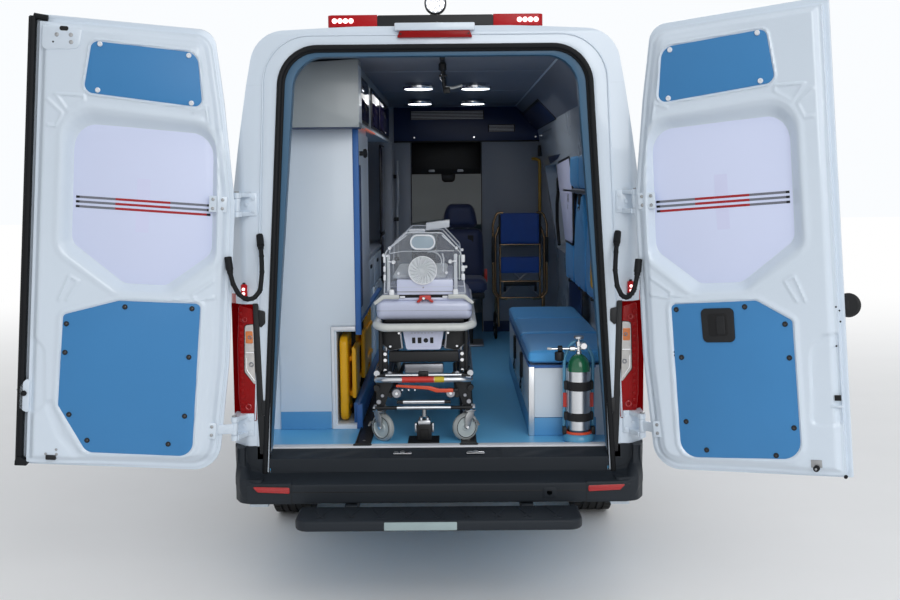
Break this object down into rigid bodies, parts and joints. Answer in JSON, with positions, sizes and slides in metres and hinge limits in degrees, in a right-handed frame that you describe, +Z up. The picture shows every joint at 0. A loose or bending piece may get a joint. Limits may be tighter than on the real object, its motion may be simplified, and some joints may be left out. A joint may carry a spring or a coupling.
{
  "type": "ambulance van",
  "caption": "High-roof van ambulance with open rear doors, stretcher, bench, cabinets and roof lamps; doors, bonnet, steering and wheels move.",
  "frame": {"origin": "on the ground, under the centre plane of the van, 2.721 m behind the front axle", "axes": "+Y forwards, +X to the right, +Z up"},
  "size_m": [3.6037, 7.4283, 2.8329],
  "materials": {
    "body_paint": "gloss",
    "interior": "satin",
    "black_trim": "satin",
    "glass": "clear",
    "red_lens": "gloss",
    "lamp_lens": "gloss",
    "blue_fabric": "satin",
    "grey_fabric": "matte",
    "steel": "satin",
    "chassis": "matte",
    "tyre": "matte",
    "rim": "satin",
    "floor": "satin",
    "yellow": "gloss",
    "blue_paint": "gloss",
    "engine": "matte",
    "white_hood": "gloss"
  },
  "bodies": {
    "van": {"side_wall_left": "body_paint", "side_wall_right": "body_paint", "roof_panel": "body_paint", "cab_shell": "body_paint", "floor_pan": "floor", "front_wings": "body_paint", "windscreen": "glass", "grille": "black_trim", "headlamps": "lamp_lens", "front_bumper": "black_trim", "rear_bumper": "black_trim", "rear_step": "black_trim", "tail_lamps": "red_lens", "light_bars": "red_lens", "side_windows": "glass", "sliding_door": "body_paint", "partition_wall": "interior", "dashboard": "black_trim", "seats": "grey_fabric", "bench": "interior", "bench_cushions": "blue_fabric", "cabinets": "interior", "stretcher": "steel", "incubator": "white_hood", "oxygen_cylinder": "steel", "spine_board": "yellow", "wheelchair": "blue_paint", "ceiling_panel": "interior", "chassis_frame": "chassis", "rear_axle": "chassis", "engine_block": "engine", "drive_line": "chassis", "fuel_tank": "black_trim", "exhaust": "steel", "grab_rails": "yellow", "door_hinges": "black_trim"},
    "cab_door_left": {"cab_door_left": "body_paint", "cab_window_left": "glass", "mirror_left": "black_trim"},
    "cab_door_right": {"cab_door_right": "body_paint", "cab_window_right": "glass", "mirror_right": "black_trim"},
    "bonnet": {"bonnet": "body_paint"},
    "rear_door_left": {"rear_door_left": "body_paint", "rear_window_left": "glass"},
    "rear_door_right": {"rear_door_right": "body_paint", "rear_window_right": "glass"},
    "steering_wheel": {"steering_wheel": "black_trim"},
    "knuckle_left": {"knuckle_left": "chassis"},
    "knuckle_right": {"knuckle_right": "chassis"},
    "wheel_front_left": {"tyre_front_left": "tyre", "rim_front_left": "rim"},
    "wheel_front_right": {"tyre_front_right": "tyre", "rim_front_right": "rim"},
    "wheel_rear_left": {"tyre_rear_left": "tyre", "rim_rear_left": "rim"},
    "wheel_rear_right": {"tyre_rear_right": "tyre", "rim_rear_right": "rim"}
  },
  "joints": [
    {"name": "cab_door_left_hinge", "type": "hinge", "parent": "van", "child": "cab_door_left", "pos_m": [-1.018, 2.449, 1.2], "axis": [0, 0, -1], "range_deg": [0, 70]},
    {"name": "cab_door_right_hinge", "type": "hinge", "parent": "van", "child": "cab_door_right", "pos_m": [1.018, 2.449, 1.2], "axis": [0, 0, 1], "range_deg": [0, 70]},
    {"name": "bonnet_hinge", "type": "hinge", "parent": "van", "child": "bonnet", "pos_m": [0, 2.919, 1.345], "axis": [1, 0, 0], "range_deg": [0, 65]},
    {"name": "rear_door_left_hinge", "type": "hinge", "parent": "van", "child": "rear_door_left", "pos_m": [-0.909, -3.208, 1.2], "axis": [-0.0384, 0, -0.9993], "range_deg": [-173.3, 6.7]},
    {"name": "rear_door_right_hinge", "type": "hinge", "parent": "van", "child": "rear_door_right", "pos_m": [0.909, -3.208, 1.2], "axis": [-0.0384, 0, 0.9993], "range_deg": [-150.2, 29.8]},
    {"name": "steering", "type": "hinge", "parent": "van", "child": "steering_wheel", "pos_m": [-0.4, 1.939, 1.18], "axis": [0, -0.7071, 0.7071], "range_deg": [-540, 540]},
    {"name": "knuckle_left_steer", "type": "hinge", "parent": "van", "child": "knuckle_left", "pos_m": [-0.78, 2.721, 0.356], "axis": [0, 0, 1], "range_deg": [-36, 36]},
    {"name": "knuckle_right_steer", "type": "hinge", "parent": "van", "child": "knuckle_right", "pos_m": [0.78, 2.721, 0.356], "axis": [0, 0, 1], "range_deg": [-36, 36]},
    {"name": "wheel_front_left_spin", "type": "hinge", "parent": "knuckle_left", "child": "wheel_front_left", "pos_m": [-0.853, 2.721, 0.356], "axis": [1, 0, 0], "continuous": true},
    {"name": "wheel_rear_left_spin", "type": "hinge", "parent": "van", "child": "wheel_rear_left", "pos_m": [-0.866, -1.604, 0.356], "axis": [1, 0, 0], "continuous": true},
    {"name": "wheel_front_right_spin", "type": "hinge", "parent": "knuckle_right", "child": "wheel_front_right", "pos_m": [0.853, 2.721, 0.356], "axis": [1, 0, 0], "continuous": true},
    {"name": "wheel_rear_right_spin", "type": "hinge", "parent": "van", "child": "wheel_rear_right", "pos_m": [0.866, -1.604, 0.356], "axis": [1, 0, 0], "continuous": true}
  ],
  "couplings": [
    {"joint": "knuckle_left_steer", "follows": "steering", "ratio": 0.066667},
    {"joint": "knuckle_right_steer", "follows": "steering", "ratio": 0.066667}
  ]
}
